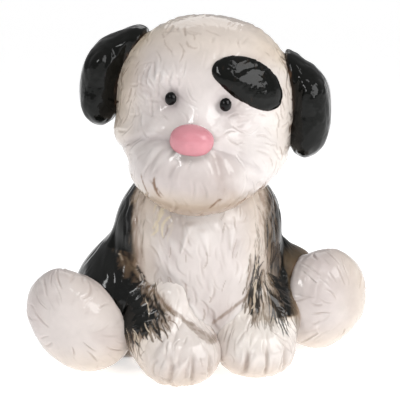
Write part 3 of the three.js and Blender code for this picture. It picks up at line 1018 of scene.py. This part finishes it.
def paint_head(coat, front, eyes, edge, cleft, furrow, crease, ears):
    """White, creamy at the crown and cheeks, with a brown beard and brown hairs round the ears; painted
    shade in the eye sockets, along the muzzle's edge, over the upper muzzle and under the chin.
    """
    points = coat.points
    across, forward, up = face(points)
    beside = np.abs(across)
    coat.brush(SEPIA, 0.3 * cleft * (0.5 + 0.5 * ramp(0, 0.5, streaks(points, (1.5, 1.5, 6), 9))))
    warm = 0.35 * ramp(18, 34, up) + 0.4 * ramp(-30, -42, up) + 0.35 * ramp(24, 36, beside)
    coat.brush(CREAM, warm + 0.4 * bell(ears, 12))
    # painted shade: lilac grey in the eye sockets and along the groove round the muzzle
    coat.brush(LILAC_SHADE, 0.5 * bell(eyes, EYE_SOCKET) + 0.35 * bell(edge - 1.02, 0.09) * front)
    coat.brush(PALE, 0.7 * bell(np.hypot(across - 1, up - 3), 9) * front)
    # painted shade: greyer over the upper muzzle, toning down the light on its upward-facing bulge
    coat.brush(ASH, 0.7 * ramp(-10, -22, up) * bell(across + 2, 26) * front)
    coat.brush(CREAM, 0.75 * ramp(-24, -36, up) * front)
    # brown beard, darkened further towards the underside as painted shade under the chin
    coat.brush(SEPIA, 0.55 * ramp(-28, -39, up) * front, 0.1)
    coat.brush(SEPIA, 0.3 * bell(np.hypot(across - 14, 0.8 * (up + 30)), 11) * front, 0.1)
    coat.brush(PALE, 0.5 * ramp(14, 24, across) * ramp(-30, -20, up) * ramp(30, 20, up) * front)
    down = np.tile(-FACE_Z, (len(points), 1))
    coat.hairs(SEPIA, 0.95, 0.2, ramp(-23, -30, up) * front, 90, down, 8, 2.1, 0.25)
    flecks = ramp(0.35, 0.75, streaks(points, (1.3, 1.3, 5), 12))
    coat.brush(SEPIA, (0.6 * ramp(13, 3, ears) + 0.25 * ramp(26, 36, beside)) * flecks, 0.2)
    wash = 0.35 + 0.5 * ramp(-16, -34, up) + 0.35 * ramp(18, 34, beside) + 0.3 * ramp(10, -10, forward)
    antique_and_shade_creases(coat, furrow * np.clip(wash, 0, 1), 0.9 * crease)
    coat.brush(UMBER, 0.8 * ramp(2.0, 0.2, ears + streaks(points, (1.2, 1.2, 5), 8)), 0.2)
    outward = down + 0.5 * np.outer(np.sign(across), FACE_X)
    coat.hairs(SEPIA, 0.6, 0.3, bell(ears - 2.5, 2.5), 60, outward, 7, 1.6, 0.4)
    coat.hairs(UMBER, 0.85, 0.2, bell(ears - 1.2, 1.6), 46, outward, 6, 1.8, 0.4)
    crown = bell(np.hypot(across + 11, up - 36), 7) * front
    upward = np.tile(FACE_Z - 0.8 * FACE_X, (len(points), 1))
    coat.hairs(SEPIA, 0.3, 0.1, crown, 16, upward, 8, 1.6, 0.4)
    cheeks = ramp(0.5, 1, ramp(24, 34, beside) * ramp(-30, -20, up) * front)
    coat.hairs(SEPIA, 0.45, 0.1, cheeks, 60, outward, 7, 1.7, 0.15)


def make_head():
    name = "head"
    points, normals = POINTS[name], NORMALS[name]
    widths = {"body": 2.5, "right_ear": 4, "left_ear": 4, "nose": 2}
    distances = near_to(name, widths)
    swell, crease = join(distances, widths)
    eyes = np.minimum(*(np.linalg.norm(points - EYES[side], axis=1) for side in SIDES))
    ears = np.minimum(distances["right_ear"], distances["left_ear"]) / MM
    front = ramp(-4, 10, face(points)[1])
    shape, edge, cleft = head_shape(points, front, eyes)
    lock, furrow = head_hair(points, normals, front, eyes, edge, distances["nose"])
    relief = swell + shape + lock + 0.5 * MM * rough_noise(points, 13 * MM, 5)
    coat = glaze_tones_and_highlights(Coat(points, WHITE, normals), 0.8 * lock + 0.2 * shape)
    paint_head(coat, front, eyes, edge, cleft, furrow, crease, ears)
    neck = prism("neck", circle(NECK_BOX.mean(0), NECK_RADIUS), NECK_BOX[0, 2], HEAD_HEART[2], 2)
    return make_shell(name, points + normals * relief[:, None], coat, [neck])


# ---------- ears ----------
def make_ear(side):
    name = side + "_ear"
    points, normals = POINTS[name], NORMALS[name]
    distances = near_to(name, ["head"])
    swell, _ = join(distances, {"head": 4})
    flow = falling(len(points), 0.0, 0.25)
    lock, _ = comb(points, normals, 34, 7, None, flow, 18, 6.5, 0.3, 0.25)
    relief = swell + lock + 0.7 * MM * noise(points, 11 * MM, 8)
    coat = Coat(points, BLACK)
    edge = ramp(2.6 * MM, 0.2 * MM, distances["head"] + 1.4 * MM * streaks(points, (1.5, 1.5, 6), 5))
    coat.brush(UMBER, 0.8 * edge, 0.4)
    coat.brush(SEPIA, 0.6 * edge * ramp(0.1, 0.6, streaks(points, (1.2, 1.2, 5), 17)), 0.4)
    return make_member(name, relief, coat, BLACK_GLAZE)


# ---------- forelegs ----------
def sunk_in_shoulder(points, z):
    """A foreleg's points, with its upper part let into the body so that it melts into the shoulder."""
    body = FORMS["body"]
    ray = points - body.heart
    above = np.linalg.norm(ray, axis=1) - body.grid.look_up(body.reach, unit(ray))
    sink = np.maximum(above, 0) * 0.97 * shoulder(z) + 1.3 * MM * ramp(42, 56, z)
    return points - unit(ray) * sink[:, None]


def shoulder(z):
    """0 on the lower leg, 1 where it is part of the shoulder; z in mm."""
    return ramp(26, 47, z)


def toe_grooves(x, y, z, front):
    """Three grooves over the front of a paw; x from the paw's middle, all in mm."""
    toes = np.zeros(len(x))
    for offset in TOE_GROOVES:
        line = x - offset - 0.02 * offset * (y - front)
        span = ramp(front + 15, front + 7, y) * ramp(2.5, 6, z) * ramp(19, 14, z)
        toes = np.maximum(toes, bell(line, 0.85) * span)
    return toes


def make_foreleg(side):
    name = side + "_foreleg"
    normals = NORMALS[name]
    widths = {"body": 5, "head": 2, OTHER[side] + "_foreleg": 2.5, side + "_foot": 2.5}
    distances = near_to(name, widths)
    swell, crease = join(distances, widths)
    x, y, z = (POINTS[name] / MM).T
    x = x - SIGN[side] * PAW_OUT
    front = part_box(FORMS[name].name)[0][1] / MM
    points = sunk_in_shoulder(POINTS[name], z)
    swell *= 1 - shoulder(z)
    crease *= 1 - 0.5 * shoulder(z)

    toes = toe_grooves(x, y, z, front)
    paw = ramp(34, 22, z) * ramp(front + 34, front + 18, y)
    flow = np.column_stack([0.1 * x, -0.9 * paw - 0.1, -1.2 + 0.5 * paw])
    seen = ramp(-0.5, 0.3, -normals[:, 1] + normals[:, 2])
    lock, furrow = comb(points, normals, 85, 4, seen, flow, 8, 2.1, 0.4)
    lock += comb(points, normals, 26, 7, seen, flow, 15, 5.5, 0.55, 0.2)[0]
    relief = swell + lock - 1.3 * MM * toes + 0.35 * MM * rough_noise(points, 10 * MM, 6)
    outward = normals[:, 0] * SIGN[side]
    relief += (2.6 * ramp(0, 1, outward) + 1.0 * ramp(0, 1, -outward)) * MM * ramp(34, 20, z)
    relief *= ramp(0, 1.5, z)

    ground, light, paw_top = LEG_PAINT[side]
    # painted light: on the left foreleg the ground and the upper colour are paler, lifting the shade it sits
    # in
    coat = glaze_tones_and_highlights(Coat(points, ground, normals), lock)
    coat.brush(light, 0.7 * ramp(8, 24, z))
    coat.brush(ASH, 0.5 * ramp(14, 6, z))
    coat.brush(CREAM, 0.15 + 0.35 * ramp(14, 2, z))
    antique_and_shade_creases(coat, np.maximum(0.75 * furrow, 0.95 * toes), 0.8 * crease)
    paint_flanks(coat, z, paw_top)
    paint_tuft(coat, z, side)
    return make_member(name, relief, coat, WHITE_GLAZE, points)


# ---------- hind feet ----------
def make_foot(side):
    name = side + "_foot"
    points, normals = POINTS[name], NORMALS[name]
    widths = {"body": 4, side + "_foreleg": 2.5}
    distances = near_to(name, widths)
    swell, crease = join(distances, widths)
    creamy, inner_swell, lean, more_lean, lean_from, lean_to = FOOT_SHAPE[side]
    sole = unit(np.array([0.32 * SIGN[side], -1.0, 0.05]))
    away = points - FORMS[name].heart
    across, z = away[:, 0] / MM, points[:, 2] / MM
    radial = away - np.outer(away @ sole, sole)
    spread = np.linalg.norm(radial, axis=1) / MM
    facing = normals @ sole
    rim = ramp(9, 15, spread) * ramp(27, 22, spread) * (facing > 0.1)
    chance = np.clip(rim + 0.5 * (facing <= 0.25), 0, 1)
    lock, furrow = comb(points, normals, 85, 4, chance, unit(radial) - 0.3 * sole, 8.5, 2.2, 0.42, 0.22)
    relief = swell + lock + 0.3 * MM * rough_noise(points, 10 * MM, 9)
    relief -= 0.8 * MM * bell(spread, 12) * (facing > 0.3)
    inner = ramp(0.1, 0.9, -normals[:, 0] * SIGN[side]) * ramp(2, 10, z)
    relief += inner_swell * MM * inner
    relief *= ramp(0, 2, z)

    coat = glaze_tones_and_highlights(Coat(points, WHITE), lock)
    coat.brush(CREAM, creamy * ramp(-10, 25, across) + 0.4 * ramp(22, 4, z))
    antique_and_shade_creases(coat, 0.8 * furrow, 0.6 * crease)
    to_body = distances["body"] / MM
    back = ramp(0.5, 0.0, to_body / 4 + 0.4 * streaks(points, (2, 2, 6), 7))
    coat.brush(SEPIA, 0.5 * back, 0.3)
    coat.brush(BLACK, back * ramp(1.6, 0.4, to_body), 0.1)
    # both soles lean to the dog's right towards the top
    shift = (lean + more_lean * ramp(lean_from, lean_to, across)) * np.clip((z - 18) / 34, 0, 1)
    points = points - shift[:, None] * [MM, 0, 0]
    return make_member(name, relief, coat, WHITE_GLAZE, points)


# ---------- tail, nose and eyes ----------
def make_tail():
    name = "tail"
    points, normals = POINTS[name], NORMALS[name]
    swell, _ = join(near_to(name, ["body"]), {"body": 5})
    flow = np.tile([0.2, 0.2, 1.0], (len(points), 1))
    lock, furrow = comb(points, normals, 45, 4, None, flow, 13, 4, 0.55)
    coat = Coat(points, BLACK)
    tip = ramp(24, 36, points[:, 2] / MM + 3 * streaks(points, (2, 2, 8), 2))
    coat.brush(SEPIA, 0.7 * ramp(0.0, 0.5, tip), 0.4)
    coat.brush(WHITE, ramp(0.4, 0.8, tip))
    antique_and_shade_creases(coat, 0.7 * furrow)
    return make_member(name, swell + lock, coat, BLACK_GLAZE)


def make_nose():
    name = "nose"
    points = POINTS[name]
    distances = near_to(name, ["head"])
    across, _, up = face(points)
    middle_across, _, middle_up = face(NOSE_MIDDLE)
    ridge = 0.35 * bell(up - middle_up - 3, 3)
    groove = 0.2 * bell(across - middle_across, 1.6) * (up < middle_up)
    relief = MM * (0.25 * rough_noise(points, 6 * MM, 2) + ridge - groove)
    coat = Coat(points, PINK)
    coat.brush(ROSE, 0.7 * bell(distances["head"], 1.6 * MM) + 0.25 * rough_noise(points, 5 * MM, 9))
    return make_member(name, relief, coat, PINK_GLAZE)


def make_eye(side):
    name = side + "_eye"
    points = POINTS[name]
    coat = Coat(points, EYE_BLACK)
    coat.brush(EYE_BROWN, 0.4 * ramp(0, 1, rough_noise(points, 2 * MM, 5)))
    return make_member(name, np.full(len(points), -0.1 * MM), coat, BLACK_GLAZE)


# ---------- eye patch: a raised lozenge on the head ----------
def make_patch():
    tree = TREES["eye_patch"]
    head = FORMS["head"]
    outer = np.array([v.co for v in NODES["eye_patch"].data.vertices])
    centre = unit(outer.mean(0) - head.heart)
    first = unit(np.cross(centre, [0, 0, 1.0]))
    second = np.cross(centre, first)
    spokes, rings = 160, 30
    turns = 2 * math.pi * np.arange(spokes) / spokes
    sunk = -2.2 * MM

    def ray_to(angle, turn):
        tangent = first * math.cos(turn) + second * math.sin(turn)
        return centre * math.cos(angle) + tangent * math.sin(angle)

    def covered(direction):
        ray = Vector(direction)
        return tree.ray_cast(Vector(head.heart) + ray * FAR, -ray, FAR)[0] is not None

    edge = np.zeros(spokes)
    for k in range(spokes):
        low, high = 0.0, 0.8
        for _ in range(11):
            half = (low + high) / 2
            low, high = (half, high) if covered(ray_to(half, turns[k])) else (low, half)
        edge[k] = low
    for _ in range(4):
        edge = 0.5 * edge + 0.25 * (np.roll(edge, 1) + np.roll(edge, -1))
    hit = tree.ray_cast(Vector(head.heart + centre * FAR), Vector(-centre), FAR)[3]
    raised = FAR - hit - head.grid.look_up(head.reach, centre[None])[0] + 0.7 * MM

    directions, lift = [centre], [raised]
    for ring in range(1, rings + 1):
        share = math.sin(ring / rings * math.pi / 2)
        for k in range(spokes):
            directions.append(ray_to(edge[k] * share, turns[k]))
            lift.append(raised * (1 - share**5) ** 0.5 - 0.5 * MM * share**8)
    for k in range(spokes):
        directions.append(ray_to(edge[k] * 0.96, turns[k]))
        lift.append(sunk)
    directions.append(centre)
    lift.append(sunk)
    directions, lift = np.array(directions), np.array(lift)
    surface = head.heart + directions * head.grid.look_up(head.final, directions)[:, None]
    ripple = 0.05 * MM * streaks(surface, (2.6, 2.6, 7.0), 4) * ramp(0.3 * MM, 1.2 * MM, lift)
    points = surface + directions * (lift + ripple)[:, None]
    faces = []
    for k in range(spokes):
        nxt = (k + 1) % spokes
        faces.append((0, 1 + k, 1 + nxt))
        for ring in range(rings):
            a = 1 + ring * spokes
            faces.append((a + k, a + spokes + k, a + spokes + nxt, a + nxt))
        last = 1 + rings * spokes
        faces.append((last + k, len(points) - 1, last + nxt))
    piece = new_mesh("eye_patch", points, faces)
    coat = Coat(points, BLACK)
    worn = 0.25 * ramp(0.2, 0.7, streaks(points, (1.5, 1.5, 5), 3))
    coat.brush(UMBER, 0.5 * ramp(0.7 * MM, 0.0, lift) + worn, 0.2)
    put_paint(piece, coat.colour, coat.dry)
    return finish_piece(piece, BLACK_GLAZE, ["eye_patch"])


make_body()
make_head()
for side in SIDES:
    make_ear(side)
    make_foreleg(side)
    make_foot(side)
    make_eye(side)
make_tail()
make_nose()
make_patch()


# ---------- stopper ----------
CREAM_RUBBER = linear("#d3ccb6")
PALE_RUBBER = linear("#ebe6d6")


def rubber():
    """Soft cream rubber, clouded and finely grained."""
    made, tree, shader = material("stopper_rubber")
    link = tree.links.new
    where = tree.nodes.new("ShaderNodeTexCoord")
    colours = tree.nodes.new("ShaderNodeValToRGB")
    for stop, place, colour in zip(colours.color_ramp.elements, (0.3, 0.7), (CREAM_RUBBER, PALE_RUBBER)):
        stop.position = place
        stop.color = (*colour, 1)
    link(add_noise(tree, where, 140.0, 4.0, 0.6), colours.inputs["Fac"])
    link(colours.outputs["Color"], shader.inputs["Base Color"])
    grain = add_bump(tree, add_noise(tree, where, 1500.0, 2.0), 0.15, 0.0002)
    link(grain.outputs["Normal"], shader.inputs["Normal"])
    shader.inputs["Roughness"].default_value = 0.48
    shader.inputs["Subsurface Weight"].default_value = 0.15
    shader.inputs["Subsurface Radius"].default_value = (0.003, 0.0026, 0.002)
    return made


def lathe(name, profile, centre, sides=96):
    """A closed turned solid on the vertical through centre. The profile starts and ends on the axis."""
    points = [(centre[0], centre[1], profile[0][1])]
    for radius, height in profile[1:-1]:
        for k in range(sides):
            turn = 2 * math.pi * k / sides
            points.append((centre[0] + radius * math.cos(turn), centre[1] + radius * math.sin(turn), height))
    points.append((centre[0], centre[1], profile[-1][1]))
    faces = []
    rings = len(profile) - 2
    for k in range(sides):
        nxt = (k + 1) % sides
        faces.append((0, 1 + nxt, 1 + k))
        for ring in range(rings - 1):
            a = 1 + ring * sides
            faces.append((a + k, a + nxt, a + sides + nxt, a + sides + k))
        last = 1 + (rings - 1) * sides
        faces.append((last + k, last + nxt, len(points) - 1))
    return new_mesh(name, points, faces)


def rounded(profile, radius, steps=4):
    """A profile with each inner corner rounded."""
    soft = [profile[0]]
    for before, corner, after in zip(profile, profile[1:], profile[2:]):
        before, corner, after = (np.array(p, float) for p in (before, corner, after))
        back, onward = before - corner, after - corner
        reach = min(radius, np.linalg.norm(back) * 0.45, np.linalg.norm(onward) * 0.45)
        a = corner + unit(back) * reach
        b = corner + unit(onward) * reach
        for k in range(steps + 1):
            t = k / steps
            soft.append(tuple((1 - t) ** 2 * a + 2 * t * (1 - t) * corner + t * t * b))
    soft.append(profile[-1])
    return soft


BAR_HALF_WIDTH = 1.6 * MM
BAR_RISE = 2.7 * MM
BAR_OUTLINE = ((-1, 2), (-1, -0.6), (-0.75, -0.95), (-0.4, -1), (0.4, -1), (0.75, -0.95), (1, -0.6), (1, 2))
STOPPER_EDGE = math.radians(40)


def make_stopper():
    low, high = STOPPER_LOW[2], STOPPER_HIGH[2]
    shoulder = low + FLANGE_THICKNESS
    web = shoulder + 3.5 * MM
    bore = BARREL_RADIUS - 2 * MM
    recess = bore - MM
    root = BARREL_RADIUS - 0.35 * MM
    ribs = []
    for k in range(3):
        level = shoulder + (2.2 + 2.6 * k) * MM
        ribs += [(root, level), (BARREL_RADIUS, level + 0.5 * MM), (root, level + 1.0 * MM)]
    profile = [
        (0, web),
        (recess, web),
        (recess, low),
        (FLANGE_RADIUS, low),
        (FLANGE_RADIUS, shoulder),
        (BARREL_RADIUS - 0.3 * MM, shoulder),
        *ribs,
        (BARREL_RADIUS - 1.2 * MM, high),
        (bore, high),
        (bore, web + 2 * MM),
        (0, web + 2 * MM),
    ]
    piece = lathe("stopper_plug", rounded(profile, 0.5 * MM), BASE_CENTRE)
    outline = [(BASE_CENTRE[1] + BAR_HALF_WIDTH * c, low + BAR_RISE + BAR_RISE * s) for c, s in BAR_OUTLINE]
    half_length = recess + 0.5 * MM
    bar = prism("bar", outline, BASE_CENTRE[0] - half_length, BASE_CENTRE[0] + half_length, 0)
    boolean(piece, bar, "UNION")
    soften(piece, STOPPER_EDGE)
    return finish_piece(piece, rubber(), ["stopper"], STOPPER)


make_stopper()


# ---------- floor, lights and camera ----------
def stage_floor():
    floor = new_mesh("floor", [(-40, -40, 0), (40, -40, 0), (40, 40, 0), (-40, 40, 0)], [(0, 1, 2, 3)])
    made, tree, shader = material("pale_floor")
    speck = add_node(tree, "ShaderNodeTexNoise", Scale=3.0, Detail=2.0)
    add_range(tree, speck.outputs["Fac"], shader.inputs["Base Color"], 0.86, 0.9)
    shader.inputs["Roughness"].default_value = 0.6
    shader.inputs["Specular IOR Level"].default_value = 0.2
    shader.inputs["Emission Color"].default_value = (1, 1, 1, 1)
    shader.inputs["Emission Strength"].default_value = 0.62
    floor.data.materials.append(made)


def aim(thing, target):
    thing.rotation_euler = (Vector(target) - thing.location).to_track_quat("-Z", "Y").to_euler()


def softbox(name, bearing, rise, distance, size, power, target):
    """A rectangular light at a bearing (degrees from the front, towards +X) and a rise above the target."""
    data = bpy.data.lights.new(name, "AREA")
    data.shape = "RECTANGLE"
    data.size, data.size_y = size
    data.energy = power
    lamp = bpy.data.objects.new(name, data)
    bpy.context.scene.collection.objects.link(lamp)
    a, e = math.radians(bearing), math.radians(rise)
    offset = Vector((math.sin(a) * math.cos(e), -math.cos(a) * math.cos(e), math.sin(e)))
    lamp.location = Vector(target) + offset * distance
    aim(lamp, target)


HEIGHT = float(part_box("head_shell")[1][2])
MIDDLE = Vector((0, 0, HEIGHT / 2))
stage_floor()
for name, bearing, rise, distance, size, power in (
    ("key", 38, 30, 0.7, (0.4, 0.4), 2.4),
    ("window_left", -48, 36, 0.75, (0.11, 0.18), 0.75),
    ("window_right", 14, 52, 0.75, (0.08, 0.16), 0.2),
    ("back", 165, 45, 0.9, (0.5, 0.4), 0.8),
):
    softbox(name, bearing, rise, distance, size, power, MIDDLE)

world = bpy.data.worlds.new("studio")
bpy.context.scene.world = world
world.use_nodes = True
sky = world.node_tree
place = sky.nodes.new("ShaderNodeTexCoord")
height = sky.nodes.new("ShaderNodeSeparateXYZ")
sky.links.new(place.outputs["Generated"], height.inputs["Vector"])
bands = sky.nodes.new("ShaderNodeValToRGB")
sky.links.new(height.outputs["Z"], bands.inputs["Fac"])
bands.color_ramp.elements[0].position = 0.06
bands.color_ramp.elements[0].color = (1, 1, 1, 1)
bands.color_ramp.elements[1].position = 0.14
bands.color_ramp.elements[1].color = (0.3, 0.3, 0.31, 1)
for position, level in ((0.5, 0.36), (1.0, 0.5)):
    band = bands.color_ramp.elements.new(position)
    band.color = (level, level, level, 1)
sky.links.new(bands.outputs["Color"], sky.nodes["Background"].inputs["Color"])
sky.nodes["Background"].inputs["Strength"].default_value = 1.02
bpy.context.scene.view_settings.view_transform = "Standard"
bpy.context.scene.view_settings.look = "None"

CAMERA_BEARING = -15
CAMERA_RISE = 11
CAMERA_DISTANCE = 0.45
LENS = 83.5
AIM = Vector((0, 0, 0.089))
SHIFT_UP = 0.0126
SHIFT_ACROSS = 0.0005
camera_data = bpy.data.cameras.new("camera")
camera_data.lens = LENS
camera_data.sensor_width = 36
camera_data.clip_start = 0.01
camera = bpy.data.objects.new("camera", camera_data)
bpy.context.scene.collection.objects.link(camera)
bearing, rise = math.radians(CAMERA_BEARING), math.radians(CAMERA_RISE)
back = Vector((math.sin(bearing) * math.cos(rise), -math.cos(bearing) * math.cos(rise), math.sin(rise)))
camera.location = AIM + back * CAMERA_DISTANCE
across = Vector((math.cos(bearing), math.sin(bearing), 0))
aim(camera, AIM - back.cross(across) * SHIFT_UP + across * SHIFT_ACROSS)
bpy.context.scene.camera = camera
